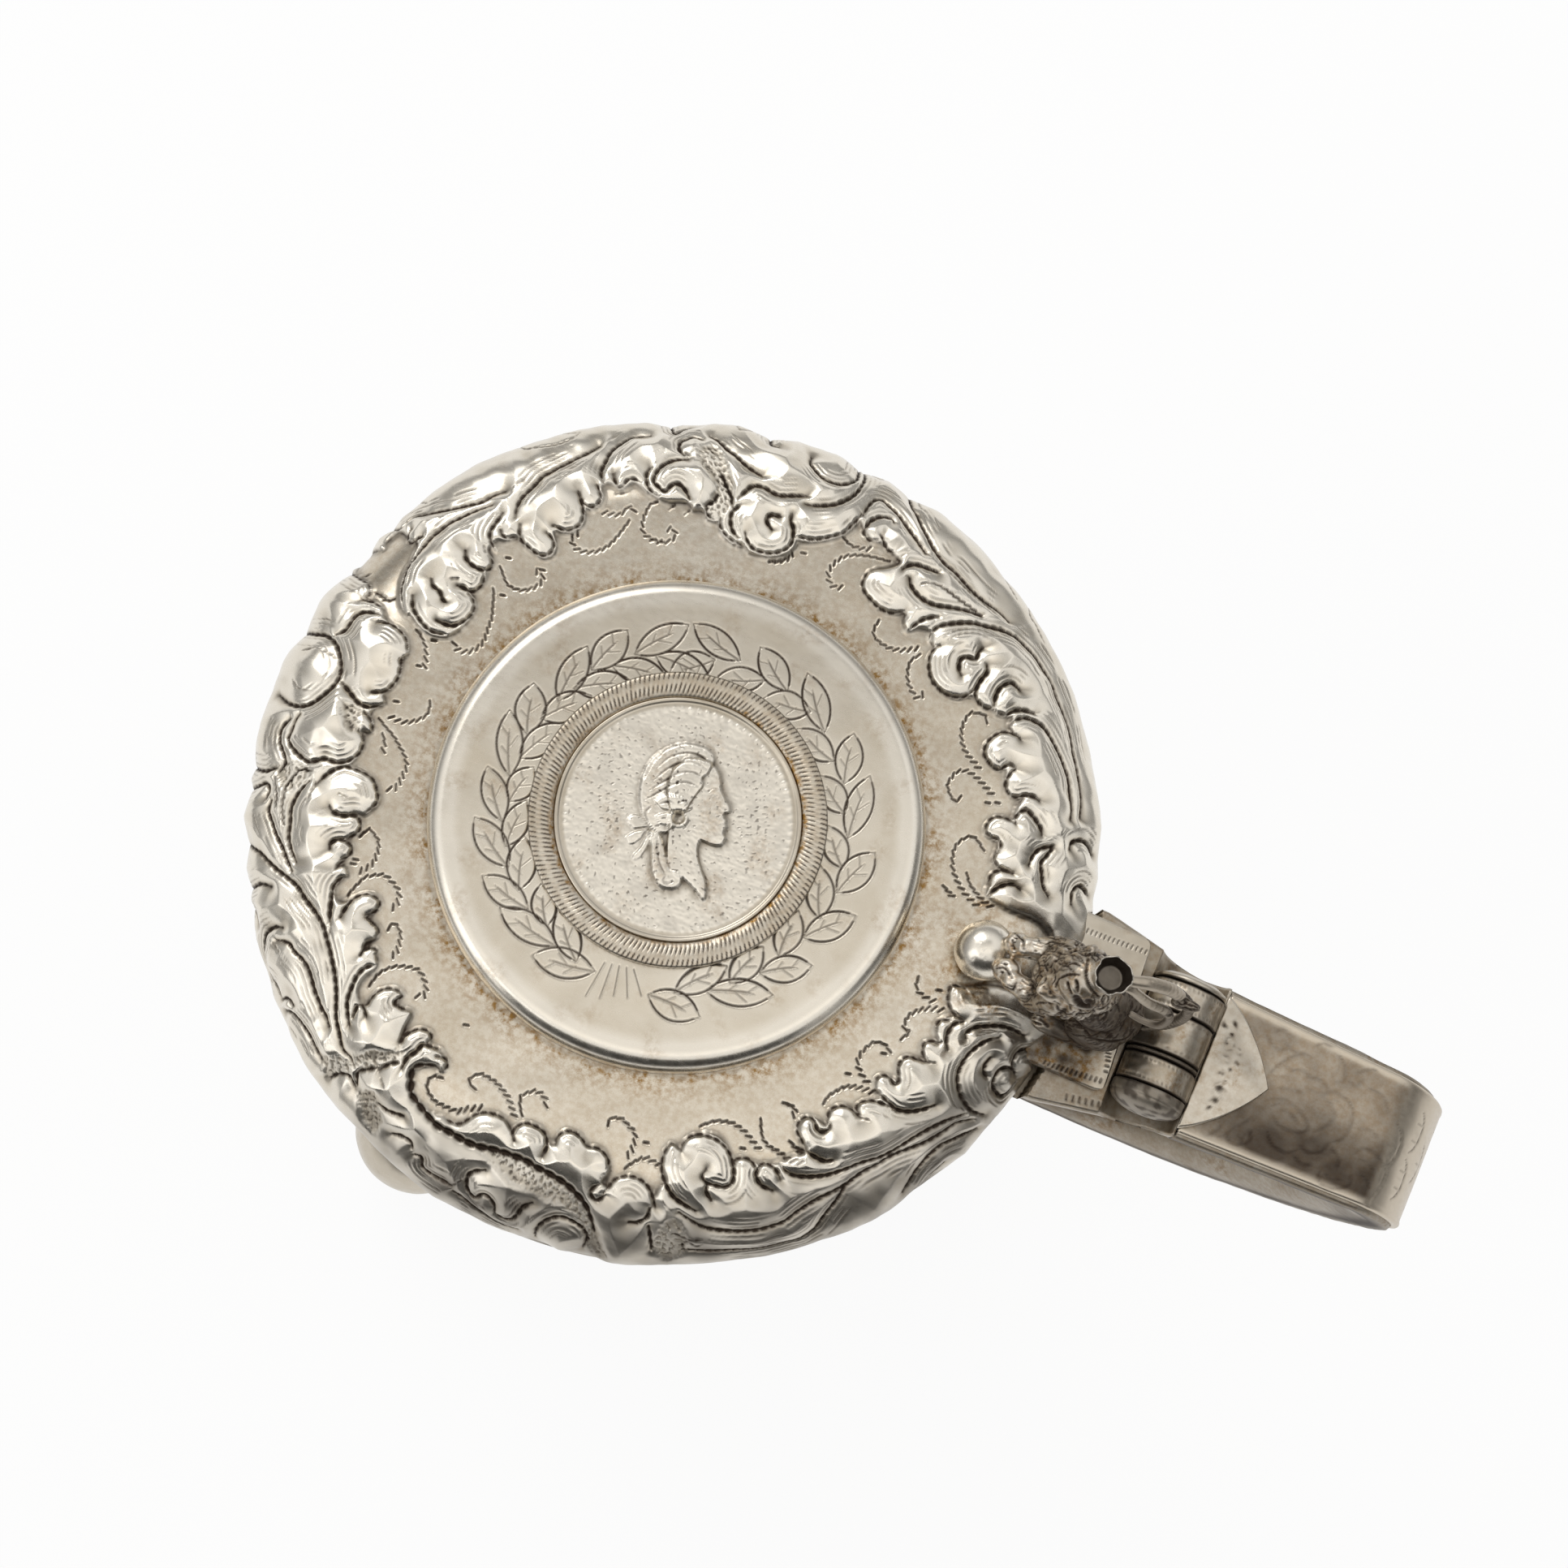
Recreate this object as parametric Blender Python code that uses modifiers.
"""Lidded silver tankard on three ball feet, with a coin set in its hinged lid.

All sizes are in metres. The body's axis is vertical, the handle stands at +X of it, and the
origin is on the resting plane, under the middle of the whole object.
"""

import math

import bmesh
import bpy
from mathutils import Matrix, Vector
from mathutils.geometry import interpolate_bezier

# Clearances
SEAT_GAP = 0.0003  # between pieces that touch
COLLAR_PLAY = 0.0006  # between the lid's collar and the inside of the wall
LID_SWING_PLAY = 0.0008  # between the lid's edge and the handle beside it

# Body
BODY_RADIUS = 0.0640
BODY_HEIGHT = 0.1475
BODY_WALL = 0.0013
FLOOR_THICKNESS = 0.0015
FLOOR_SETTING = 0.0014  # height of the floor above the wall's lower edge
RIM_BAND_PROUD = 0.0026  # past the wall
RIM_BAND_HEIGHT = 0.0068
BASE_BAND_PROUD = 0.0052  # past the wall
BASE_BAND_HEIGHT = 0.0108
BAND_CHAMFER = 0.0004

# Feet
FOOT_COUNT = 3
FOOT_RADIUS = 0.0143
FOOT_FLAT_RADIUS = 0.0044
FOOT_NECK_RADIUS = 0.0036
FOOT_NECK_HEIGHT = 0.0012
FOOT_SHEET = 0.0014
FOOT_OUTSET = 0.0022  # of the middle of a foot, past the outside of the wall
LEAF_HEIGHT = 0.0400
LEAF_WIDTH = 0.0260
LEAF_THICKNESS = 0.0013

# Lid
LID_OVERHANG = 0.0081  # past the outside of the wall
LID_RISE = 0.0148
LID_EDGE_HEIGHT = 0.0020
LID_SHEET = 0.0014
LID_BORDER_WIDTH = 0.0176  # from the flat top to the edge
BEARER_THICKNESS = 0.0014
COLLAR_DEPTH = 0.0050
LEAF_MASS_RISE = 0.0014  # of the chased leaves over the border
LEAF_MASS_LENGTH = 0.0210
LEAF_MASS_WIDTH = 0.0110
LEAF_MASS_DEPTH = 0.0032  # from their middles to their tops
LEAF_MASS_SEAT = 68  # in degrees up the border, from its edge (0) to the flat top (90)
COLLAR_SHEET = 0.0013
MEDALLION_RADIUS = 0.0410
MEDALLION_HEIGHT = 0.0058
MEDALLION_EDGE_RADIUS = 0.0030
MEDALLION_SHEET = 0.0012
COIN_RADIUS = 0.0202
COIN_THICKNESS = 0.0014
COIN_RIM_WIDTH = 0.0011
COIN_RIM_HEIGHT = 0.0003
SETTING_RADIUS = 0.0244
SETTING_HEIGHT = 0.0019

# Hinge
HINGE_OUTSET = 0.0173  # of the pin from the lid's edge
HINGE_RISE = 0.0095  # of the pin above the body's rim
BARREL_RADIUS = 0.0062
PIN_RADIUS = 0.0016
REAR_CAP_LENGTH = 0.0013
REAR_KNUCKLE_LENGTH = 0.0050
LID_KNUCKLE_LENGTH = 0.0067
SHIM_LENGTH = 0.0007
FRONT_KNUCKLE_LENGTH = 0.0046
FRONT_CAP_LENGTH = 0.0055
LID_KNUCKLE_Y = 0.0013  # middle of the lid's knuckle
TONGUE_ANGLE = 64  # above the level, in degrees, of where a knuckle's tongue leaves the barrel
LID_TONGUE_LENGTH = 0.0024  # past the barrel, into the plate
PLATE_THICKNESS = 0.0016
PLATE_REAR_Y = 0.0154
PLATE_FRONT_Y = -0.0118
PLATE_REACH = 0.0294  # from the pin, over the lid
PLATE_BARREL_MARGIN = 0.0008
PLATE_SKEW = 0.0018  # the plate is cut a little out of square
PLATE_CORNER_RADIUS = 0.0020
SHIELD_LENGTH = 0.0112
SHIELD_WIDTH = 0.0240
SHIELD_THICKNESS = 0.0015

# Handle
HANDLE_OUTREACH = 0.0506  # from the pin to the outermost point
HANDLE_TOP_DROP = 0.0014  # of the handle's top below the hinge pin
ROOT_FLARE_WIDTH = 0.0326  # where the handle meets the body
ROOT_END_WIDTH = 0.0252
ROOT_DEPTH = 0.0225
HANDLE_SHOULDER_RUN = 0.0130  # from the start of the bend to the outermost point
HANDLE_SHOULDER_DROP = 0.0175
HANDLE_SHOULDER_WIDTH = 0.0215
HANDLE_SHOULDER_DEPTH = 0.0150
HANDLE_TAIL_WIDTH = 0.0092
HANDLE_TAIL_DEPTH = 0.0060
HANDLE_LOWER_JOINT_HEIGHT = 0.0540  # above the body's lower edge
STRAP_THICKNESS = 0.0014
SHELL_SHEET = 0.0012
SHELL_PROUD = 0.0008  # how far the shell stands out past the strap at each side
TERMINAL_LENGTH = 0.0260
TERMINAL_WIDTH = 0.0150
TERMINAL_THICKNESS = 0.0016

# Thumbpiece
LION_HEIGHT = 0.0355  # from the hinge plate to the top of the head
LION_LEAN = 0.0180  # of the middle of the haunches towards the lid from the hinge pin
BALL_RADIUS = 0.0050
BALL_REACH = 0.0350  # from the pin, over the lid
BALL_Y = 0.0006
CROWN_RADIUS = 0.00295
CROWN_FOOT_RADIUS = 0.0020
CROWN_BASE_RADIUS = 0.0022
CROWN_HEIGHT = 0.0068
CROWN_SHEET = 0.0005
TAIL_RADIUS = 0.0011

# Facets
TURN_STEPS = 42
SMALL_TURN_STEPS = 16
MERGE_DISTANCE = 0.00001

# Sizes and places worked out from the sizes above
RIM_BAND_RADIUS = BODY_RADIUS + RIM_BAND_PROUD
BASE_BAND_RADIUS = BODY_RADIUS + BASE_BAND_PROUD
FOOT_CIRCLE_RADIUS = BODY_RADIUS + FOOT_OUTSET
LID_RADIUS = BODY_RADIUS + LID_OVERHANG
PLATEAU_RADIUS = LID_RADIUS - LID_BORDER_WIDTH
HINGE_X = LID_RADIUS + HINGE_OUTSET
HANDLE_REACH = HINGE_X + HANDLE_OUTREACH
HANDLE_SHOULDER_X = HANDLE_REACH - HANDLE_SHOULDER_RUN
PLATE_INNER_X = HINGE_X - PLATE_REACH
BALL_X = HINGE_X - BALL_REACH
FOOT_CENTRE_Z = math.sqrt(FOOT_RADIUS**2 - FOOT_FLAT_RADIUS**2)
BODY_BOTTOM_Z = FOOT_CENTRE_Z + FOOT_RADIUS + FOOT_NECK_HEIGHT + SEAT_GAP
RIM_Z = BODY_BOTTOM_Z + BODY_HEIGHT
LID_BOTTOM_Z = RIM_Z + SEAT_GAP
LID_TOP_Z = LID_BOTTOM_Z + LID_RISE
HINGE_Z = RIM_Z + HINGE_RISE
HANDLE_TOP_Z = HINGE_Z - HANDLE_TOP_DROP
PLATE_BOTTOM_Z = HANDLE_TOP_Z + SEAT_GAP
PLATE_TOP_Z = PLATE_BOTTOM_Z + PLATE_THICKNESS
MEDALLION_BOTTOM_Z = LID_TOP_Z + SEAT_GAP
MEDALLION_TOP_Z = MEDALLION_BOTTOM_Z + MEDALLION_HEIGHT
TROUGH_RADIUS = BARREL_RADIUS + SEAT_GAP
ROOT_END_X = HINGE_X + BARREL_RADIUS + 2 * SEAT_GAP
AXIS_X = (LID_RADIUS - HANDLE_REACH) / 2
BALL_CENTRE = Vector((BALL_X, BALL_Y, LID_TOP_Z + SEAT_GAP + BALL_RADIUS))
LION_BASE = Vector((HINGE_X - LION_LEAN, 0, PLATE_TOP_Z + SEAT_GAP))
CROWN_X = LION_BASE.x + 0.015 * LION_HEIGHT
CROWN_SEAT_Z = LION_BASE.z + 0.985 * LION_HEIGHT

# Names of the finishes: colour, roughness
BRIGHT_SILVER = ((0.78, 0.76, 0.71), 0.22)
WORN_SILVER = ((0.62, 0.59, 0.53), 0.34)
DARK_SILVER = ((0.40, 0.36, 0.31), 0.42)


def clear_scene():
    """Remove every object of the scene."""
    for obj in list(bpy.data.objects):
        bpy.data.objects.remove(obj)


def new_collection(name, hidden=False):
    """Return a new collection of the scene; a hidden one isn't rendered."""
    collection = bpy.data.collections.new(name)
    collection.hide_render = hidden
    bpy.context.scene.collection.children.link(collection)
    return collection


def new_empty(name, location, parent=None):
    """Return an empty that marks an axis."""
    empty = bpy.data.objects.new(name, None)
    empty.empty_display_size = 0.01
    empty.location = location
    empty.parent = parent
    PARTS.objects.link(empty)
    return empty


def silver(name, finish):
    """Return a silver material of the given colour and roughness."""
    colour, roughness = finish
    material = bpy.data.materials.new(name)
    material.use_nodes = True
    shader = material.node_tree.nodes["Principled BSDF"]
    shader.inputs["Base Color"].default_value = (*colour, 1.0)
    shader.inputs["Roughness"].default_value = roughness
    shader.inputs["Metallic"].default_value = 1.0
    return material


def new_piece(name, mesh, finish, parent=None, location=(0, 0, 0)):
    """Add a sub-part to the object, with its own material."""
    obj = bpy.data.objects.new(name, mesh)
    obj.parent = parent or BODY_AXIS
    obj.location = location
    mesh.materials.clear()
    mesh.materials.append(silver(name + "_silver", finish))
    PARTS.objects.link(obj)
    return obj


def new_cutter(name, mesh):
    """Add a shape that only cuts or joins others, in the frame of the body's axis."""
    obj = bpy.data.objects.new(name, mesh)
    obj.parent = BODY_AXIS
    obj.hide_render = True
    obj.display_type = "WIRE"
    CUTTERS.objects.link(obj)
    return obj


def boolean(obj, other, operation="DIFFERENCE"):
    """Cut another object out of this one, or join it to this one."""
    modifier = obj.modifiers.new(operation.title(), "BOOLEAN")
    modifier.operation = operation
    modifier.solver = "EXACT"
    modifier.object = other
    return modifier


def profile_mesh(name, profile):
    """Return a wire mesh of (radius, height) points, closed unless it starts on the axis."""
    mesh = bpy.data.meshes.new(name)
    edges = [(i, i + 1) for i in range(len(profile) - 1)]
    if profile[0][0] > 0:
        edges.append((len(profile) - 1, 0))
    mesh.from_pydata([(radius, 0, height) for radius, height in profile], edges, [])
    return mesh


def turn(obj, steps=TURN_STEPS):
    """Turn an object's profile around its Z axis."""
    modifier = obj.modifiers.new("Turn", "SCREW")
    modifier.axis = "Z"
    modifier.angle = 2 * math.pi
    modifier.screw_offset = 0
    modifier.steps = steps
    modifier.render_steps = steps
    modifier.use_merge_vertices = True
    modifier.merge_threshold = MERGE_DISTANCE
    modifier.use_smooth_shade = True
    return obj


def quarter(centre_r, centre_h, radius_r, radius_h, start, end, count):
    """Return points of an ellipse between two angles in degrees, 0 outwards and 90 up."""
    points = []
    for i in range(count + 1):
        angle = math.radians(start + (end - start) * i / count)
        points.append((centre_r + radius_r * math.cos(angle), centre_h + radius_h * math.sin(angle)))
    return points


def edited(mesh, edit):
    """Run an edit of a mesh through bmesh, and return the mesh."""
    bm = bmesh.new()
    bm.from_mesh(mesh)
    edit(bm)
    bm.to_mesh(mesh)
    bm.free()
    return mesh


def smooth(mesh, angle=40):
    """Shade a mesh smooth, with edges sharper than the angle left sharp."""
    mesh.shade_smooth()
    mesh.set_sharp_from_angle(angle=math.radians(angle))
    return mesh


def plate_mesh(name, outlines, thickness):
    """Return a flat plate of closed outlines in the XY plane, centred on it; inner outlines are holes."""
    curve = bpy.data.curves.new(name, "CURVE")
    curve.dimensions = "2D"
    curve.fill_mode = "BOTH"
    curve.extrude = thickness / 2
    for outline in outlines:
        spline = curve.splines.new("POLY")
        spline.points.add(len(outline) - 1)
        spline.use_cyclic_u = True
        for point, (x, y) in zip(spline.points, outline):
            point.co = (x, y, 0, 1)
    holder = bpy.data.objects.new(name, curve)
    CUTTERS.objects.link(holder)
    bpy.context.view_layer.update()
    graph = bpy.context.evaluated_depsgraph_get()
    mesh = bpy.data.meshes.new_from_object(holder.evaluated_get(graph))
    bpy.data.objects.remove(holder)
    return edited(mesh, weld)


def weld(bm):
    """Merge the doubled points of a mesh and turn its faces outwards."""
    bmesh.ops.remove_doubles(bm, verts=bm.verts, dist=MERGE_DISTANCE / 10)
    bmesh.ops.recalc_face_normals(bm, faces=bm.faces)


def circle(centre, radius, count=SMALL_TURN_STEPS):
    """Return the points of a circle."""
    angles = [2 * math.pi * i / count for i in range(count)]
    return [(centre[0] + radius * math.cos(a), centre[1] + radius * math.sin(a)) for a in angles]


def rounded(corners, radius, count=4):
    """Return a convex outline, given anticlockwise, with its corners rounded."""
    points = []
    for i, corner in enumerate(corners):
        here = Vector(corner)
        before = (Vector(corners[i - 1]) - here).normalized()
        after = (Vector(corners[(i + 1) % len(corners)]) - here).normalized()
        half = before.angle(after) / 2
        centre = here + (before + after).normalized() * radius / math.sin(half)
        first = here + before * radius / math.tan(half) - centre
        last = here + after * radius / math.tan(half) - centre
        for step in range(count + 1):
            spoke = first.lerp(last, step / count).normalized() * radius
            points.append(tuple(centre + spoke))
    return points


def loft_mesh(name, rings):
    """Return a closed mesh through rings of equal counts of points, with flat ends."""
    mesh = bpy.data.meshes.new(name)
    bm = bmesh.new()
    rows = [[bm.verts.new(point) for point in ring] for ring in rings]
    for row, following in zip(rows, rows[1:]):
        for i in range(len(row)):
            j = (i + 1) % len(row)
            bm.faces.new((row[i], row[j], following[j], following[i]))
    bm.faces.new(list(reversed(rows[0])))
    bm.faces.new(rows[-1])
    bmesh.ops.recalc_face_normals(bm, faces=bm.faces)
    bm.to_mesh(mesh)
    bm.free()
    return mesh


def cylinder_mesh(name, radius, start, end, steps=SMALL_TURN_STEPS):
    """Return a cylinder between two points."""
    mesh = bpy.data.meshes.new(name)
    axis = Vector(end) - Vector(start)
    middle = (Vector(start) + Vector(end)) / 2
    place = Matrix.Translation(middle) @ axis.to_track_quat("Z", "Y").to_matrix().to_4x4()
    bm = bmesh.new()
    bmesh.ops.create_cone(
        bm,
        cap_ends=True,
        segments=steps,
        radius1=radius,
        radius2=radius,
        depth=axis.length,
        matrix=place,
    )
    bm.to_mesh(mesh)
    bm.free()
    return mesh


def box_mesh(name, low, high):
    """Return a box between two corners."""
    low, high = Vector(low), Vector(high)
    mesh = bpy.data.meshes.new(name)
    bm = bmesh.new()
    place = Matrix.Translation((low + high) / 2) @ Matrix.Diagonal((*(high - low), 1.0))
    bmesh.ops.create_cube(bm, size=1.0, matrix=place)
    bm.to_mesh(mesh)
    bm.free()
    return mesh


def add_ellipsoid(bm, centre, radii, lean=0.0, around=9, rings=7):
    """Add an ellipsoid to a bmesh, its top leaned by an angle in degrees towards -X."""
    place = Matrix.Translation(centre) @ Matrix.Rotation(math.radians(-lean), 4, "Y")
    size = Matrix.Diagonal((*radii, 1.0))
    bmesh.ops.create_uvsphere(
        bm, u_segments=around, v_segments=rings, radius=1.0, matrix=place @ size
    )


# Profiles that neighbours are cut to


def rim_outline(clearance, count=4):
    """Return the outer outline of the band under the rim, from top to bottom."""
    seat = BODY_RADIUS + SEAT_GAP
    low = RIM_Z - RIM_BAND_HEIGHT
    bulge = RIM_BAND_RADIUS - seat
    middle = low + RIM_BAND_HEIGHT * 0.55
    top = [
        (RIM_BAND_RADIUS - BAND_CHAMFER + clearance, RIM_Z + clearance),
        (RIM_BAND_RADIUS + clearance, RIM_Z - BAND_CHAMFER + clearance),
    ]
    ovolo = quarter(seat + clearance, middle, bulge, RIM_BAND_HEIGHT * 0.40, 0, -70, count)
    return top + ovolo + [(seat + BAND_CHAMFER + clearance, low - clearance)]


def base_outline(clearance, count=4):
    """Return the outer outline of the band round the base, from top to bottom."""
    seat = BODY_RADIUS + SEAT_GAP
    swell = BASE_BAND_RADIUS - seat
    high = BODY_BOTTOM_Z + BASE_BAND_HEIGHT
    fillet = seat + 2 * BAND_CHAMFER + clearance
    torus = BASE_BAND_HEIGHT * 0.20
    middle = (seat + swell * 0.55 + clearance, BODY_BOTTOM_Z + torus * 2.4)
    top = [(fillet, high + clearance), (fillet, high - BASE_BAND_HEIGHT * 0.12)]
    plinth = [
        (BASE_BAND_RADIUS + clearance, BODY_BOTTOM_Z + torus),
        (BASE_BAND_RADIUS + clearance, BODY_BOTTOM_Z - clearance),
    ]
    return top + quarter(*middle, swell * 0.45, torus, 90, -90, count) + plinth


def body_profile(clearance):
    """Return the outline of the wall and its two bands, grown by a clearance, as a solid."""
    wall = BODY_RADIUS + clearance
    rim_low = RIM_Z - RIM_BAND_HEIGHT - clearance
    base_high = BODY_BOTTOM_Z + BASE_BAND_HEIGHT + clearance
    return (
        [(0, RIM_Z + clearance)]
        + rim_outline(clearance)
        + [(wall, rim_low), (wall, base_high)]
        + base_outline(clearance)
        + [(0, BODY_BOTTOM_Z - clearance)]
    )


def lid_dome(clearance, count=7):
    """Return the outer outline of the lid from its plateau to its lower edge."""
    shoulder = quarter(
        PLATEAU_RADIUS,
        LID_BOTTOM_Z + LID_EDGE_HEIGHT,
        LID_BORDER_WIDTH + clearance,
        LID_RISE - LID_EDGE_HEIGHT + clearance,
        90,
        0,
        count,
    )
    return shoulder + [(LID_RADIUS + clearance, LID_BOTTOM_Z - clearance)]


# The body


def make_body():
    """Make the wall, the floor and the two applied bands."""
    inner = BODY_RADIUS - BODY_WALL
    wall = [
        (BODY_RADIUS - BAND_CHAMFER, RIM_Z),
        (BODY_RADIUS, RIM_Z - BAND_CHAMFER),
        (BODY_RADIUS, BODY_BOTTOM_Z),
        (inner, BODY_BOTTOM_Z),
        (inner, RIM_Z - BAND_CHAMFER),
        (inner + BAND_CHAMFER, RIM_Z),
    ]
    turn(new_piece("body_wall", profile_mesh("body_wall", wall), BRIGHT_SILVER))

    floor_low = BODY_BOTTOM_Z + FLOOR_SETTING
    floor_radius = inner - SEAT_GAP
    floor = [
        (0, floor_low + FLOOR_THICKNESS),
        (floor_radius, floor_low + FLOOR_THICKNESS),
        (floor_radius, floor_low),
        (0, floor_low),
    ]
    turn(new_piece("body_floor", profile_mesh("body_floor", floor), WORN_SILVER))

    seat = BODY_RADIUS + SEAT_GAP
    rim = rim_outline(0) + [(seat, RIM_Z - RIM_BAND_HEIGHT), (seat, RIM_Z)]
    turn(new_piece("rim_band", profile_mesh("rim_band", rim), BRIGHT_SILVER))

    base = base_outline(0) + [(seat, BODY_BOTTOM_Z), (seat, BODY_BOTTOM_Z + BASE_BAND_HEIGHT)]
    turn(new_piece("base_band", profile_mesh("base_band", base), BRIGHT_SILVER))


def foot_outline(clearance, count=8):
    """Return the outer outline of a ball foot with its neck, grown by a clearance, from the top."""
    radius = FOOT_RADIUS + clearance
    neck_radius = FOOT_NECK_RADIUS + clearance
    neck_angle = math.degrees(math.asin(neck_radius / radius))
    flat_angle = math.degrees(math.asin(FOOT_FLAT_RADIUS / radius))
    neck_top = FOOT_CENTRE_Z + FOOT_RADIUS + FOOT_NECK_HEIGHT + clearance
    low = FOOT_CENTRE_Z - math.sqrt(radius**2 - FOOT_FLAT_RADIUS**2)
    ball = quarter(0, FOOT_CENTRE_Z, radius, radius, 90 - neck_angle, flat_angle - 90, count)
    return [(neck_radius, neck_top)] + ball + [(0, low)]


def foot_hollow(count=5):
    """Return the inner outline of a ball foot, from its bottom up to the open neck."""
    radius = FOOT_RADIUS - FOOT_SHEET
    bore = FOOT_NECK_RADIUS - FOOT_SHEET
    floor_z = FOOT_CENTRE_Z - math.sqrt(FOOT_RADIUS**2 - FOOT_FLAT_RADIUS**2) + FOOT_SHEET
    flat_angle = math.degrees(math.asin((FOOT_CENTRE_Z - floor_z) / radius))
    bore_angle = math.degrees(math.acos(bore / radius))
    ball = quarter(0, FOOT_CENTRE_Z, radius, radius, -flat_angle, bore_angle, count)
    neck_top = FOOT_CENTRE_Z + FOOT_RADIUS + FOOT_NECK_HEIGHT
    return [(0, floor_z)] + ball + [(bore, neck_top)]


def make_feet():
    """Make the ball feet and the leaves that tie them to the wall."""
    leaf = leaf_mesh()
    grown = foot_outline(SEAT_GAP)
    foot_solid = [(0, grown[0][1])] + grown
    for index in range(FOOT_COUNT):
        number = index + 1
        angle = 2 * math.pi * index / FOOT_COUNT
        centre = Matrix.Rotation(angle, 3, "Z") @ Vector((FOOT_CIRCLE_RADIUS, 0, 0))
        mesh = profile_mesh(f"ball_foot_{number}", foot_hollow() + foot_outline(0))
        foot = new_piece(f"ball_foot_{number}", mesh, WORN_SILVER, location=centre)
        turn(foot, SMALL_TURN_STEPS)

        seat = new_cutter(f"foot_seat_{number}", profile_mesh("foot_seat", foot_solid))
        seat.location = centre
        turn(seat, SMALL_TURN_STEPS)
        leaf_piece = new_piece(f"foot_leaf_{number}", leaf.copy(), WORN_SILVER)
        leaf_piece.rotation_euler.z = angle
        boolean(leaf_piece, seat)


def leaf_mesh():
    """Return a pointed leaf that stands on a ball foot and lies over the base band and the wall."""
    seat = LEAF_THICKNESS / 2 + SEAT_GAP
    base_top = BODY_BOTTOM_Z + BASE_BAND_HEIGHT
    top = BODY_BOTTOM_Z + LEAF_HEIGHT
    over_band = BASE_BAND_RADIUS + seat
    on_wall = BODY_RADIUS + seat
    foot_top = BODY_BOTTOM_Z - FOOT_NECK_HEIGHT - LEAF_THICKNESS
    spine = [
        (over_band, foot_top, 0.30),
        (over_band, BODY_BOTTOM_Z + BASE_BAND_HEIGHT * 0.55, 0.48),
        (on_wall + 0.0022, base_top + 0.0004, 0.50),
        (on_wall, base_top + 0.0042, 0.47),
        (on_wall, base_top + (top - base_top) * 0.5, 0.36),
        (on_wall, base_top + (top - base_top) * 0.8, 0.19),
        (on_wall, top, 0.02),
    ]
    steps = 6
    rings = []
    for i, (radius, height, share) in enumerate(spine):
        before = Vector(spine[max(i - 1, 0)][:2])
        after = Vector(spine[min(i + 1, len(spine) - 1)][:2])
        along = (after - before).normalized()
        out = Vector((along.y, -along.x)) * LEAF_THICKNESS / 2
        spread = share * LEAF_WIDTH / radius
        angles = [spread * (2 * k / steps - 1) for k in range(steps + 1)]
        outer = [polar(radius + out.x, a, height + out.y) for a in angles]
        inner = [polar(radius - out.x, a, height - out.y) for a in reversed(angles)]
        rings.append(outer + inner)
    return smooth(loft_mesh("foot_leaf", rings))


def polar(radius, angle, height):
    """Return a point from its radius, its angle in radians and its height."""
    return Vector((radius * math.cos(angle), radius * math.sin(angle), height))


# The lid


def lid_location():
    """Return the place of the body's axis, seen from the hinge."""
    return (-HINGE_X, 0, -HINGE_Z)


def leaf_masses():
    """Return the leaf masses of the lid's border: angle, lean off the border's run, and size share.

    Angles and leans are in degrees, anticlockwise from the handle. A positive lean turns the far
    end of a leaf inwards. The handle's side stays free for the hinge plate and the lion.
    """
    return [
        (30, 16, 0.85),
        (51, 18, 1.00),
        (72, 12, 0.90),
        (95, 20, 1.00),
        (113, -10, 0.72),
        (132, 16, 0.95),
        (154, 16, 1.00),
        (174, 0, 0.72),
        (188, -10, 0.62),
        (205, -14, 0.95),
        (226, -16, 0.95),
        (247, -12, 0.90),
        (269, -10, 1.00),
        (298, -18, 1.00),
        (320, -14, 0.90),
        (336, -14, 0.60),
    ]


def add_leaf_masses(bm):
    """Add the masses of the chased leaves, which lie along the lid's border."""
    seat = math.radians(LEAF_MASS_SEAT)
    rise = LID_RISE - LID_EDGE_HEIGHT
    radius = PLATEAU_RADIUS + LID_BORDER_WIDTH * math.cos(seat)
    height = LID_BOTTOM_Z + LID_EDGE_HEIGHT + rise * math.sin(seat)
    outward = math.atan2(rise * math.cos(seat), LID_BORDER_WIDTH * math.sin(seat))
    for angle, lean, share in leaf_masses():
        place = (
            Matrix.Rotation(math.radians(angle), 4, "Z")
            @ Matrix.Translation((radius, 0, height))
            @ Matrix.Rotation(outward, 4, "Y")
            @ Matrix.Rotation(math.radians(lean), 4, "Z")
            @ Matrix.Translation((0, 0, LEAF_MASS_RISE * share - LEAF_MASS_DEPTH))
        )
        size = (LEAF_MASS_WIDTH * share / 2, LEAF_MASS_LENGTH * share / 2, LEAF_MASS_DEPTH, 1.0)
        bmesh.ops.create_uvsphere(
            bm, u_segments=8, v_segments=6, radius=1.0, matrix=place @ Matrix.Diagonal(size)
        )


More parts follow.
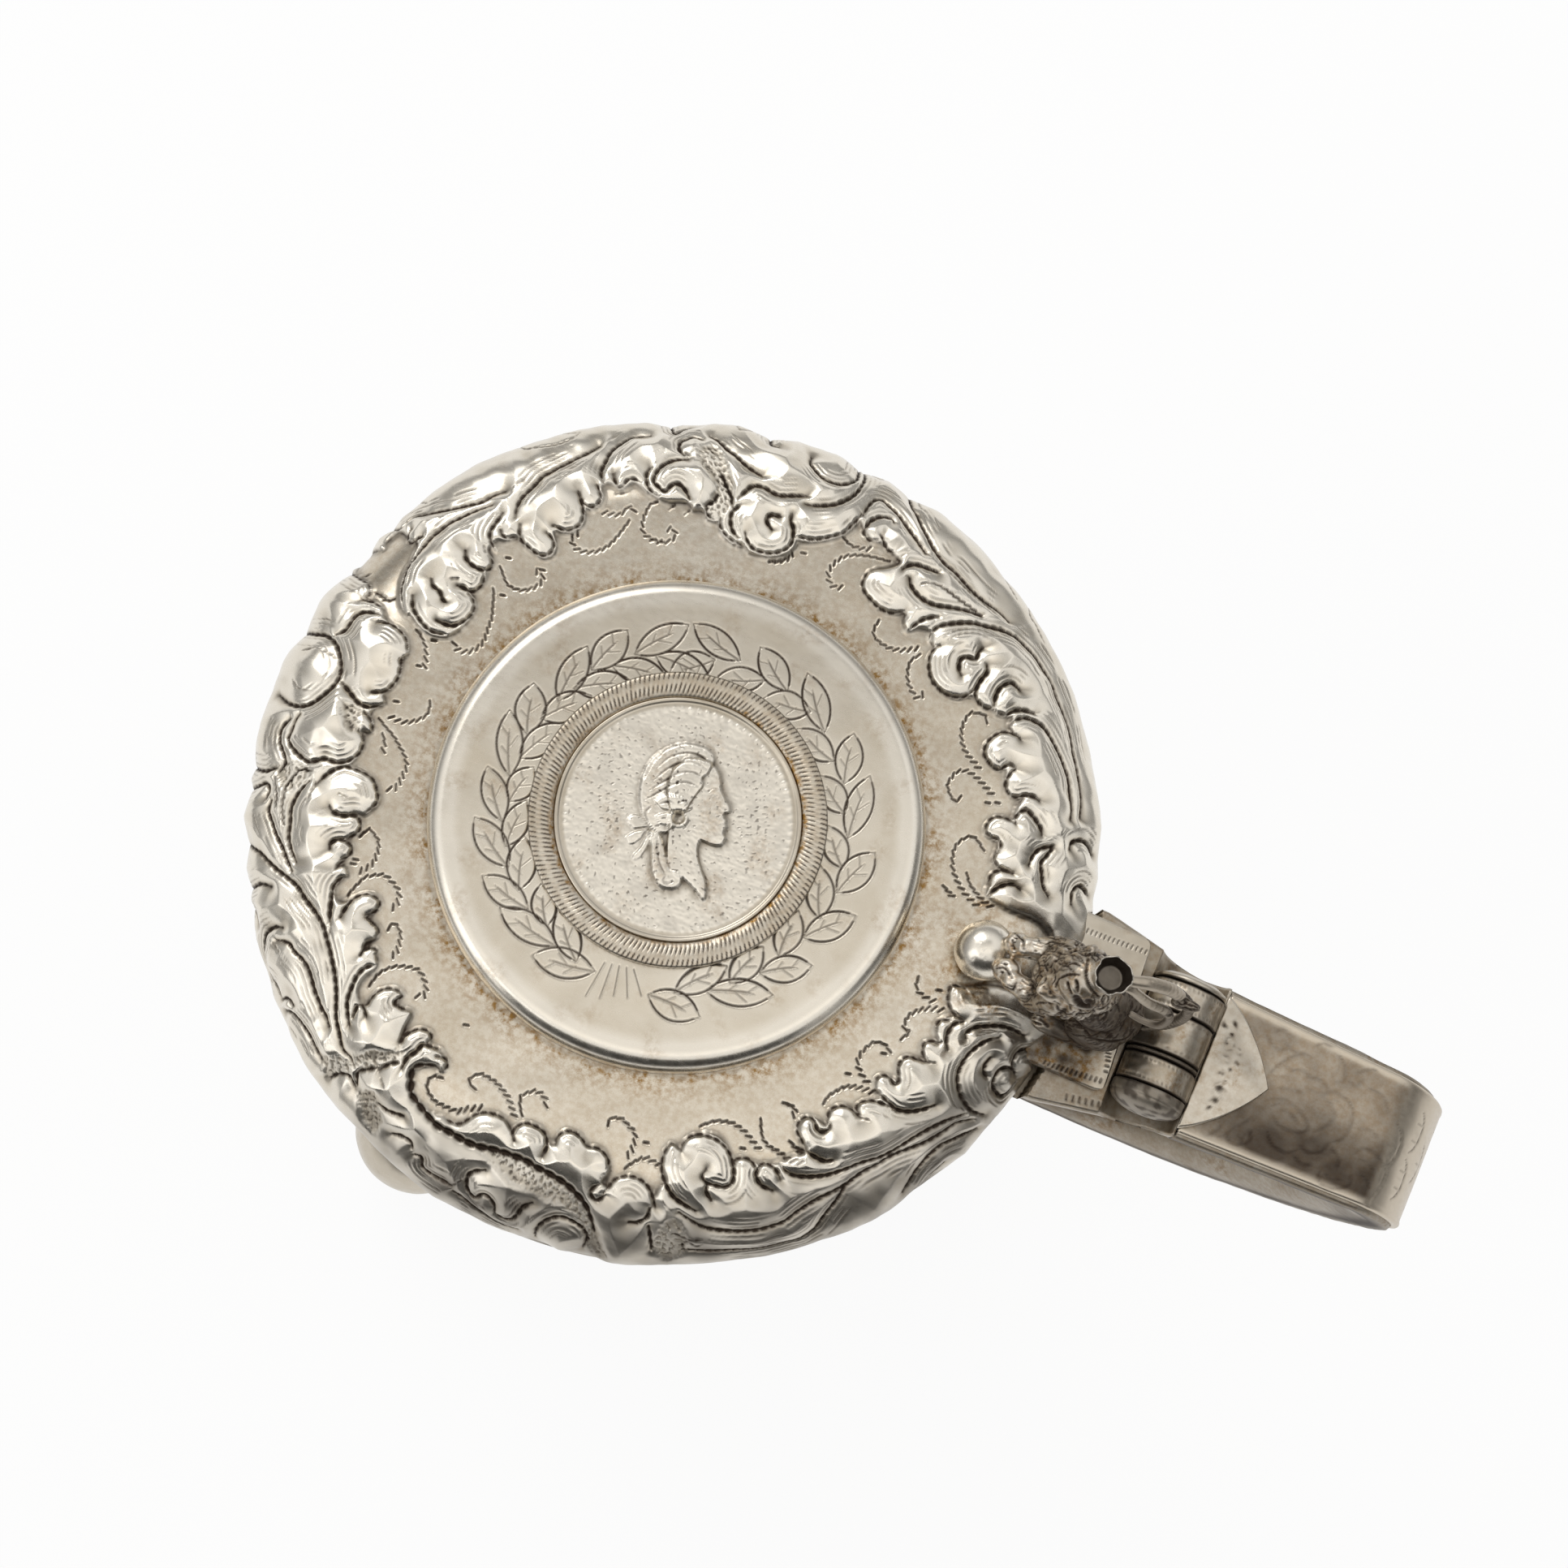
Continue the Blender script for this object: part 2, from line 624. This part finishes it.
def make_lid():
    """Make the domed lid, its bearer with the collar, the medallion, the coin and its setting."""
    at_hinge = {"parent": LID_AXIS, "location": lid_location()}
    inner_radius = LID_BORDER_WIDTH - LID_SHEET
    inner_rise = LID_RISE - LID_EDGE_HEIGHT - LID_SHEET
    hollow = quarter(
        PLATEAU_RADIUS, LID_BOTTOM_Z + LID_EDGE_HEIGHT, inner_radius, inner_rise, 0, 90, 6
    )
    lid = (
        [(0, LID_TOP_Z)]
        + lid_dome(0)
        + [(LID_RADIUS - LID_SHEET, LID_BOTTOM_Z)]
        + hollow
        + [(0, LID_TOP_Z - LID_SHEET)]
    )
    shell = turn(new_piece("lid_shell", profile_mesh("lid_shell", lid), BRIGHT_SILVER, **at_hinge))
    leaves = new_cutter("leaf_masses", edited(bpy.data.meshes.new("leaf_masses"), add_leaf_masses))
    half_sheet = LID_SHEET / 2
    core = [(0, LID_TOP_Z - half_sheet)] + lid_dome(-half_sheet) + [(0, LID_BOTTOM_Z + half_sheet)]
    boolean(leaves, turn(new_cutter("lid_core", profile_mesh("lid_core", core))))
    boolean(shell, leaves, "UNION")

    collar_radius = BODY_RADIUS - BODY_WALL - COLLAR_PLAY
    bearer_radius = LID_RADIUS - LID_SHEET - SEAT_GAP
    bearer_top = LID_BOTTOM_Z + BEARER_THICKNESS
    bearer = [
        (bearer_radius, bearer_top),
        (bearer_radius, LID_BOTTOM_Z),
        (collar_radius, LID_BOTTOM_Z),
        (collar_radius, LID_BOTTOM_Z - COLLAR_DEPTH),
        (collar_radius - COLLAR_SHEET, LID_BOTTOM_Z - COLLAR_DEPTH),
        (collar_radius - COLLAR_SHEET, bearer_top),
    ]
    turn(new_piece("lid_bearer", profile_mesh("lid_bearer", bearer), WORN_SILVER, **at_hinge))

    edge = MEDALLION_EDGE_RADIUS
    inside = edge - MEDALLION_SHEET
    medallion = (
        [(0, MEDALLION_TOP_Z)]
        + quarter(MEDALLION_RADIUS - edge, MEDALLION_TOP_Z - edge, edge, edge, 90, 0, 3)
        + [(MEDALLION_RADIUS, MEDALLION_BOTTOM_Z), (MEDALLION_RADIUS - MEDALLION_SHEET, MEDALLION_BOTTOM_Z)]
        + quarter(MEDALLION_RADIUS - edge, MEDALLION_TOP_Z - edge, inside, inside, 0, 90, 2)
        + [(0, MEDALLION_TOP_Z - MEDALLION_SHEET)]
    )
    turn(
        new_piece("lid_medallion", profile_mesh("lid_medallion", medallion), BRIGHT_SILVER, **at_hinge)
    )

    seat_z = MEDALLION_TOP_Z + SEAT_GAP
    hole = COIN_RADIUS + SEAT_GAP
    crown = (SETTING_RADIUS - hole) / 2
    setting = quarter(hole + crown, seat_z, crown, SETTING_HEIGHT, 150, 0, 4)
    setting = [(hole, seat_z + SETTING_HEIGHT * 0.5)] + setting + [(hole, seat_z)]
    turn(new_piece("coin_setting", profile_mesh("coin_setting", setting), WORN_SILVER, **at_hinge))

    coin_top = seat_z + COIN_THICKNESS
    field = COIN_RADIUS - COIN_RIM_WIDTH
    coin = [
        (0, coin_top - COIN_RIM_HEIGHT),
        (field - COIN_RIM_HEIGHT, coin_top - COIN_RIM_HEIGHT),
        (field, coin_top),
        (COIN_RADIUS - COIN_RIM_HEIGHT, coin_top),
        (COIN_RADIUS, coin_top - COIN_RIM_HEIGHT),
        (COIN_RADIUS, seat_z),
        (0, seat_z),
    ]
    turn(new_piece("coin", profile_mesh("coin", coin), WORN_SILVER, **at_hinge))


# The hinge


def knuckle_faces():
    """Return where each knuckle starts and ends along the pin, from front to rear."""
    lid_front = LID_KNUCKLE_Y - LID_KNUCKLE_LENGTH / 2
    lid_rear = LID_KNUCKLE_Y + LID_KNUCKLE_LENGTH / 2
    shim = (lid_front - SEAT_GAP - SHIM_LENGTH, lid_front - SEAT_GAP)
    front = (shim[0] - SEAT_GAP - FRONT_KNUCKLE_LENGTH, shim[0] - SEAT_GAP)
    front_cap = (front[0] - SEAT_GAP - FRONT_CAP_LENGTH, front[0] - SEAT_GAP)
    rear = (lid_rear + SEAT_GAP, lid_rear + SEAT_GAP + REAR_KNUCKLE_LENGTH)
    rear_cap = (rear[1] + SEAT_GAP, rear[1] + SEAT_GAP + REAR_CAP_LENGTH)
    return {
        "front_cap": front_cap,
        "front": front,
        "shim": shim,
        "lid": (lid_front, lid_rear),
        "rear": rear,
        "rear_cap": rear_cap,
    }


def upright(mesh, faces):
    """Stand a plate mesh up in the XZ plane at the hinge, between two faces along Y."""
    place = Matrix.Translation((0, (faces[0] + faces[1]) / 2, 0)) @ Matrix.Rotation(
        math.pi / 2, 4, "X"
    )
    mesh.transform(place)
    return mesh


def knuckle_outline(side, reach):
    """Return a barrel outline with a tongue that slopes down to a plate, at +X or -X of the pin."""
    low = PLATE_BOTTOM_Z - HINGE_Z
    high = PLATE_TOP_Z - HINGE_Z
    foot_angle = 360 + math.degrees(math.asin(low / BARREL_RADIUS))
    barrel = quarter(0, 0, BARREL_RADIUS, BARREL_RADIUS, TONGUE_ANGLE, foot_angle, 18)
    return [(side * x, z) for x, z in barrel + [(reach, low), (reach, high)]]


def make_hinge():
    """Make the knuckles, the pin and its caps, the hinge plate of the lid and the handle's shield."""
    faces = knuckle_faces()
    bore = circle((0, 0), PIN_RADIUS + SEAT_GAP, 16)
    on_pin = {"location": (HINGE_X, 0, HINGE_Z)}
    handle_reach = ROOT_END_X - HINGE_X - SEAT_GAP

    for name, key in (("hinge_knuckle_front", "front"), ("hinge_knuckle_rear", "rear")):
        length = faces[key][1] - faces[key][0]
        mesh = plate_mesh(name, [knuckle_outline(1, handle_reach), bore], length)
        new_piece(name, smooth(upright(mesh, faces[key])), WORN_SILVER, **on_pin)

    mesh = plate_mesh("hinge_shim", [circle((0, 0), BARREL_RADIUS), bore], SHIM_LENGTH)
    new_piece("hinge_shim", smooth(upright(mesh, faces["shim"])), WORN_SILVER, **on_pin)

    pin_start = (0, faces["front_cap"][0] + FRONT_CAP_LENGTH / 2, 0)
    pin_end = (0, faces["rear_cap"][0] - SEAT_GAP, 0)
    pin = cylinder_mesh("hinge_pin", PIN_RADIUS, pin_start, pin_end, 16)
    new_piece("hinge_pin", smooth(pin), DARK_SILVER, **on_pin)

    front_length = faces["front_cap"][1] - faces["front_cap"][0]
    socket = front_length / 2 + SEAT_GAP
    dome = (
        [(0, front_length)]
        + quarter(0, front_length * 0.35, BARREL_RADIUS, front_length * 0.65, 75, 0, 5)
        + [(BARREL_RADIUS, 0), (PIN_RADIUS + SEAT_GAP, 0), (PIN_RADIUS + SEAT_GAP, socket), (0, socket)]
    )
    cap = new_piece("hinge_cap_front", profile_mesh("hinge_cap_front", dome), WORN_SILVER)
    cap.location = (HINGE_X, faces["front_cap"][1], HINGE_Z)
    cap.rotation_euler.x = math.pi / 2
    turn(cap, SMALL_TURN_STEPS)

    disc = [
        (0, REAR_CAP_LENGTH),
        (BARREL_RADIUS * 0.8, REAR_CAP_LENGTH),
        (BARREL_RADIUS, REAR_CAP_LENGTH * 0.5),
        (BARREL_RADIUS, 0),
        (0, 0),
    ]
    cap = new_piece("hinge_cap_rear", profile_mesh("hinge_cap_rear", disc), WORN_SILVER)
    cap.location = (HINGE_X, faces["rear_cap"][0], HINGE_Z)
    cap.rotation_euler.x = -math.pi / 2
    turn(cap, SMALL_TURN_STEPS)

    make_hinge_plate(faces["lid"], bore)
    make_shield()


def make_hinge_plate(lid_faces, bore):
    """Make the lid's hinge plate in one piece with its knuckle."""
    end = HINGE_X - BARREL_RADIUS - PLATE_BARREL_MARGIN
    corners = [
        (PLATE_INNER_X, PLATE_FRONT_Y),
        (end, PLATE_FRONT_Y),
        (end - PLATE_SKEW, PLATE_REAR_Y),
        (PLATE_INNER_X, PLATE_REAR_Y),
    ]
    middle_z = (PLATE_BOTTOM_Z + PLATE_TOP_Z) / 2
    mesh = plate_mesh("hinge_plate", [rounded(corners, PLATE_CORNER_RADIUS)], PLATE_THICKNESS)
    mesh.transform(Matrix.Translation((0, 0, middle_z)))
    plate = new_piece(
        "hinge_plate", smooth(mesh), WORN_SILVER, parent=LID_AXIS, location=lid_location()
    )
    outline = knuckle_outline(-1, BARREL_RADIUS + LID_TONGUE_LENGTH)
    length = lid_faces[1] - lid_faces[0]
    knuckle = upright(plate_mesh("lid_knuckle", [outline, bore], length), lid_faces)
    knuckle.transform(Matrix.Translation((HINGE_X, 0, HINGE_Z)))
    boolean(plate, new_cutter("lid_knuckle", knuckle), "UNION")
    boolean(plate, LID_CUTTER)


def make_shield():
    """Make the pointed shield plate that ends the hinge on the handle's strap."""
    half = SHIELD_WIDTH / 2
    start = ROOT_END_X + SEAT_GAP
    tip = (start + SHIELD_LENGTH, 0)
    upper = interpolate_bezier(
        Vector((start + 0.0006, half, 0)),
        Vector((start + SHIELD_LENGTH * 0.30, half * 0.86, 0)),
        Vector((start + SHIELD_LENGTH * 0.72, half * 0.50, 0)),
        Vector((*tip, 0)),
        7,
    )
    outline = [(start, -half)] + [(p.x, -p.y) for p in upper] + [(p.x, p.y) for p in reversed(upper[:-1])]
    outline = outline + [(start, half)]
    mesh = plate_mesh("hinge_shield", [outline], SHIELD_THICKNESS)
    middle_z = HANDLE_TOP_Z + SEAT_GAP + SHIELD_THICKNESS / 2
    mesh.transform(Matrix.Translation((0, 0, middle_z)))
    new_piece("hinge_shield", smooth(mesh), WORN_SILVER)


# The handle


def handle_path():
    """Return the strap's outer line in the XZ plane, from the hinge round to the wall."""
    shoulder_z = HANDLE_TOP_Z - HANDLE_SHOULDER_DROP
    joint_x = BODY_RADIUS - BODY_WALL
    joint_z = BODY_BOTTOM_Z + HANDLE_LOWER_JOINT_HEIGHT
    start_x = ROOT_END_X + SEAT_GAP
    bend = 0.55
    top = [Vector((start_x + (HANDLE_SHOULDER_X - start_x) * i / 3, 0, HANDLE_TOP_Z)) for i in range(3)]
    shoulder = interpolate_bezier(
        Vector((HANDLE_SHOULDER_X, 0, HANDLE_TOP_Z)),
        Vector((HANDLE_SHOULDER_X + (HANDLE_REACH - HANDLE_SHOULDER_X) * bend, 0, HANDLE_TOP_Z)),
        Vector((HANDLE_REACH, 0, shoulder_z + HANDLE_SHOULDER_DROP * (1 - bend))),
        Vector((HANDLE_REACH, 0, shoulder_z)),
        8,
    )
    drop = shoulder_z - joint_z
    run = HANDLE_REACH - joint_x
    back = interpolate_bezier(
        Vector((HANDLE_REACH, 0, shoulder_z)),
        Vector((HANDLE_REACH, 0, shoulder_z - drop * 0.55)),
        Vector((joint_x + run * 0.54, 0, joint_z + drop * 0.02)),
        Vector((joint_x, 0, joint_z)),
        16,
    )
    return top + shoulder + back[1:]


def handle_stations():
    """Return, for each point of the path, the point, the inward direction, the width and the depth."""
    path = handle_path()
    lengths = [0.0]
    for before, after in zip(path, path[1:]):
        lengths.append(lengths[-1] + (after - before).length)
    outermost = max(range(len(path)), key=lambda i: path[i].x)
    shoulder_at = lengths[outermost]
    stations = []
    for i, point in enumerate(path):
        before = path[max(i - 1, 0)]
        after = path[min(i + 1, len(path) - 1)]
        along = (after - before).normalized()
        inward = Vector((along.z, 0, -along.x))
        if lengths[i] <= shoulder_at:
            share = lengths[i] / shoulder_at
            width = ROOT_END_WIDTH + (HANDLE_SHOULDER_WIDTH - ROOT_END_WIDTH) * share
            depth = root_end_depth() + (HANDLE_SHOULDER_DEPTH - root_end_depth()) * share
        else:
            share = (lengths[i] - shoulder_at) / (lengths[-1] - shoulder_at)
            width = HANDLE_SHOULDER_WIDTH + (HANDLE_TAIL_WIDTH - HANDLE_SHOULDER_WIDTH) * share
            depth = HANDLE_SHOULDER_DEPTH + (HANDLE_TAIL_DEPTH - HANDLE_SHOULDER_DEPTH) * share
        stations.append((point, inward, width, depth))
    return stations


def root_end_depth():
    """Return the depth of the handle where the root block ends and the hollow part begins."""
    return (ROOT_DEPTH + HANDLE_SHOULDER_DEPTH) / 2


def d_section(point, inward, half_width, start, depth, count=10, squareness=0.75):
    """Return half of a rounded section, from one side through the inside to the other."""
    points = []
    for i in range(count + 1):
        angle = math.pi * i / count
        across = math.cos(angle)
        deep = math.sin(angle)
        y = -math.copysign(abs(across) ** squareness, across) * half_width
        reach = start + (depth - start) * abs(deep) ** squareness
        points.append(point + inward * reach + Vector((0, y, 0)))
    return points


def make_handle():
    """Make the strap, the hollow shell behind it, the solid root and the tail's terminal."""
    stations = handle_stations()
    straps = []
    shells = []
    shell_start = STRAP_THICKNESS + SEAT_GAP
    for point, inward, width, depth in stations:
        half = width / 2
        side = Vector((0, half, 0))
        low = point + inward * STRAP_THICKNESS
        straps.append([point - side, point + side, low + side, low - side])
        outer = d_section(point, inward, half + SHELL_PROUD, shell_start, depth)
        inner_half = half + SHELL_PROUD - SHELL_SHEET
        inner = d_section(point, inward, inner_half, shell_start, depth - SHELL_SHEET)
        shells.append(outer + list(reversed(inner)))
    strap = new_piece("handle_strap", smooth(loft_mesh("handle_strap", straps)), DARK_SILVER)
    shell = new_piece("handle_shell", smooth(loft_mesh("handle_shell", shells)), WORN_SILVER)
    boolean(strap, BODY_CUTTER)
    boolean(shell, BODY_CUTTER)
    make_root()
    make_terminal()


def make_root():
    """Make the solid block that carries the hinge and joins the handle to the wall."""
    start_x = BODY_RADIUS - BODY_WALL
    flare_x = LID_RADIUS
    down = Vector((0, 0, -1))
    rings = []
    places = [
        (start_x, 1.0, 0.0),
        (flare_x, 1.0, 0.15),
        ((flare_x + ROOT_END_X) / 2, 0.36, 0.6),
        (ROOT_END_X - 0.004, 0.06, 0.95),
        (ROOT_END_X, 0.0, 1.0),
    ]
    for x, flare, share in places:
        width = ROOT_END_WIDTH + (ROOT_FLARE_WIDTH - ROOT_END_WIDTH) * flare
        depth = ROOT_DEPTH + (root_end_depth() - ROOT_DEPTH) * share
        point = Vector((x, 0, HANDLE_TOP_Z))
        rings.append(d_section(point, down, width / 2 + SHELL_PROUD, 0.0, depth))
    root = new_piece("handle_root", smooth(loft_mesh("handle_root", rings)), WORN_SILVER)
    boolean(root, BODY_CUTTER)

    clear_radius = LID_RADIUS + LID_SWING_PLAY
    step_z = LID_BOTTOM_Z - LID_SWING_PLAY
    step = [(0, LID_TOP_Z), (clear_radius, LID_TOP_Z), (clear_radius, step_z), (0, step_z)]
    boolean(root, turn(new_cutter("lid_swing", profile_mesh("lid_swing", step))))

    reach = ROOT_FLARE_WIDTH
    trough = cylinder_mesh(
        "barrel_trough", TROUGH_RADIUS, (HINGE_X, -reach, HINGE_Z), (HINGE_X, reach, HINGE_Z), 32
    )
    boolean(root, new_cutter("barrel_trough", trough))


def make_terminal():
    """Make the curled tail under the lower joint, which widens to a small plain shield."""
    joint_z = BODY_BOTTOM_Z + HANDLE_LOWER_JOINT_HEIGHT
    top_z = joint_z - SEAT_GAP
    start_x = BODY_RADIUS + SEAT_GAP + TERMINAL_THICKNESS * 1.4
    length = TERMINAL_LENGTH
    spine = interpolate_bezier(
        Vector((start_x, 0, top_z)),
        Vector((start_x - 0.0004, 0, top_z - length * 0.40)),
        Vector((start_x + length * 0.12, 0, top_z - length * 0.78)),
        Vector((start_x + length * 0.58, 0, top_z - length * 0.72)),
        11,
    )
    shares = (0.60, 0.60, 0.60, 0.62, 0.70, 0.84, 0.96, 1.0, 0.90, 0.58, 0.08)
    rings = []
    for i, (point, share) in enumerate(zip(spine, shares)):
        before = spine[max(i - 1, 0)]
        after = spine[min(i + 1, len(spine) - 1)]
        along = (after - before).normalized()
        if i == 0:
            along = Vector((0, 0, -1))
        out = Vector((-along.z, 0, along.x)) * TERMINAL_THICKNESS / 2
        side = Vector((0, share * TERMINAL_WIDTH / 2, 0))
        rings.append([point - side - out, point + side - out, point + side + out, point - side + out])
    new_piece("handle_terminal", smooth(loft_mesh("handle_terminal", rings)), WORN_SILVER)


# The thumbpiece


def lion_point(x, y, z):
    """Return a point of the lion from shares of its height, x towards the lid."""
    return LION_BASE + Vector((-x, y, z)) * LION_HEIGHT


def lion_masses():
    """Return the lion's masses: centre and radii as shares of its height, and lean in degrees."""
    one = [
        ((0.10, 0.00, 0.58), (0.165, 0.165, 0.255), 14),  # chest and mane
        ((0.19, 0.00, 0.50), (0.130, 0.140, 0.200), 10),  # front of the mane
        ((-0.17, 0.00, 0.18), (0.175, 0.165, 0.185), 0),  # haunches
        ((0.06, 0.00, 0.85), (0.165, 0.142, 0.150), 0),  # head
        ((0.215, 0.00, 0.79), (0.095, 0.080, 0.080), 10),  # muzzle
    ]
    both = [
        ((-0.10, 0.135, 0.13), (0.150, 0.070, 0.140), 20),  # thighs
        ((0.06, 0.140, 0.045), (0.100, 0.052, 0.050), 0),  # hind paws
        ((0.25, 0.098, 0.43), (0.056, 0.052, 0.175), -48),  # forearms
        ((0.345, 0.070, 0.335), (0.070, 0.050, 0.050), 0),  # forepaws
        ((0.07, 0.130, 0.935), (0.040, 0.034, 0.055), 0),  # ears
    ]
    masses = list(one)
    for (x, y, z), radii, lean in both:
        masses.append(((x, y, z), radii, lean))
        masses.append(((x, -y, z), radii, lean))
    return masses


def crown_profile():
    """Return the outline of the open crown, up its inside and down its outside."""
    top = CROWN_SEAT_Z + CROWN_HEIGHT
    flare_z = CROWN_SEAT_Z + CROWN_HEIGHT * 0.55
    waist_z = CROWN_SEAT_Z + CROWN_HEIGHT * 0.25
    flare = CROWN_FOOT_RADIUS + (CROWN_RADIUS - CROWN_FOOT_RADIUS) * 0.45
    inside = [
        (0, waist_z),
        (CROWN_FOOT_RADIUS - CROWN_SHEET, waist_z),
        (flare - CROWN_SHEET, flare_z),
        (CROWN_RADIUS - CROWN_SHEET, top),
    ]
    outside = [
        (CROWN_RADIUS, top),
        (flare, flare_z),
        (CROWN_FOOT_RADIUS, waist_z),
        (CROWN_BASE_RADIUS, CROWN_SEAT_Z),
        (0, CROWN_SEAT_Z),
    ]
    return inside + outside


def make_thumbpiece():
    """Make the crowned lion, its ball and its tail."""
    at_hinge = {"parent": LID_AXIS, "location": lid_location()}

    mesh = bpy.data.meshes.new("lion_body")
    radii = Vector((0.145, 0.135, 0.335)) * LION_HEIGHT
    edited(mesh, lambda bm: add_ellipsoid(bm, lion_point(-0.04, 0, 0.38), radii, 18, 12, 9))
    lion = new_piece("lion_body", smooth(mesh), WORN_SILVER, **at_hinge)

    def add_masses(bm):
        for centre, shares, lean in lion_masses():
            add_ellipsoid(bm, lion_point(*centre), Vector(shares) * LION_HEIGHT, lean)

    masses = edited(bpy.data.meshes.new("lion_masses"), add_masses)
    joined = boolean(lion, new_cutter("lion_masses", masses), "UNION")
    joined.use_self = True

    ball = bpy.data.meshes.new("lion_ball")
    size = Vector((BALL_RADIUS, BALL_RADIUS, BALL_RADIUS))
    edited(ball, lambda bm: add_ellipsoid(bm, BALL_CENTRE, size, 0, 16, 10))
    new_piece("lion_ball", smooth(ball), BRIGHT_SILVER, **at_hinge)

    crown_mesh = profile_mesh("lion_crown", crown_profile())
    crown = new_piece("lion_crown", crown_mesh, WORN_SILVER, **at_hinge)
    crown.location.x += CROWN_X
    turn(crown, SMALL_TURN_STEPS)

    make_tail(at_hinge)

    seat = cylinder_mesh(
        "crown_seat",
        CROWN_BASE_RADIUS + SEAT_GAP,
        (CROWN_X, 0, CROWN_SEAT_Z - SEAT_GAP),
        (CROWN_X, 0, CROWN_SEAT_Z + CROWN_HEIGHT),
    )
    boolean(lion, new_cutter("crown_seat", seat))
    grown = bpy.data.meshes.new("ball_seat")
    size = Vector((1, 1, 1)) * (BALL_RADIUS + SEAT_GAP)
    edited(grown, lambda bm: add_ellipsoid(bm, BALL_CENTRE, size, 0, 16, 10))
    boolean(lion, new_cutter("ball_seat", grown))
    boolean(lion, LID_CUTTER)
    reach = PLATE_REAR_Y
    plate_seat = box_mesh(
        "plate_seat", (PLATE_INNER_X, -reach, PLATE_BOTTOM_Z), (HINGE_X, reach, LION_BASE.z)
    )
    boolean(lion, new_cutter("plate_seat", plate_seat))


def make_tail(at_hinge):
    """Make the tail, which rises from the haunches and comes back to the crown."""
    seat_x = CROWN_X + CROWN_RADIUS + SEAT_GAP + TAIL_RADIUS
    route = [
        lion_point(-0.375, 0.02, 0.16),
        lion_point(-0.46, 0.05, 0.32),
        lion_point(-0.475, 0.08, 0.52),
        lion_point(-0.41, 0.09, 0.74),
        lion_point(-0.28, 0.07, 0.93),
        Vector((seat_x, 0.03 * LION_HEIGHT, CROWN_SEAT_Z + CROWN_HEIGHT * 0.42)),
    ]
    curve = bpy.data.curves.new("lion_tail", "CURVE")
    curve.dimensions = "3D"
    curve.bevel_depth = TAIL_RADIUS
    curve.bevel_resolution = 1
    curve.use_fill_caps = True
    curve.resolution_u = 4
    spline = curve.splines.new("BEZIER")
    spline.bezier_points.add(len(route) - 1)
    for point, place in zip(spline.bezier_points, route):
        point.co = place
        point.handle_left_type = "AUTO"
        point.handle_right_type = "AUTO"
    holder = bpy.data.objects.new("lion_tail", curve)
    CUTTERS.objects.link(holder)
    bpy.context.view_layer.update()
    graph = bpy.context.evaluated_depsgraph_get()
    mesh = bpy.data.meshes.new_from_object(holder.evaluated_get(graph))
    bpy.data.objects.remove(holder)
    edited(mesh, weld)
    tail = new_piece("lion_tail", smooth(mesh), WORN_SILVER, **at_hinge)

    tuft = bpy.data.meshes.new("tail_tuft")
    size = Vector((0.055, 0.060, 0.105)) * LION_HEIGHT
    edited(tuft, lambda bm: add_ellipsoid(bm, lion_point(-0.435, 0.115, 0.60), size, -20))
    boolean(tail, new_cutter("tail_tuft", tuft), "UNION")


def main():
    """Build the tankard."""
    make_body()
    make_feet()
    make_lid()
    make_hinge()
    make_handle()
    make_thumbpiece()


clear_scene()
PARTS = new_collection("silver_tankard")
CUTTERS = new_collection("cutters", hidden=True)
BODY_AXIS = new_empty("body_axis", (AXIS_X, 0, 0))
LID_AXIS = new_empty("lid_hinge_axis", (HINGE_X, 0, HINGE_Z), BODY_AXIS)
BODY_CUTTER = turn(new_cutter("body_outline", profile_mesh("body_outline", body_profile(SEAT_GAP))))
LID_OUTLINE = [(0, LID_TOP_Z + SEAT_GAP)] + lid_dome(SEAT_GAP) + [(0, LID_BOTTOM_Z - SEAT_GAP)]
LID_CUTTER = turn(new_cutter("lid_outline", profile_mesh("lid_outline", LID_OUTLINE)))
main()
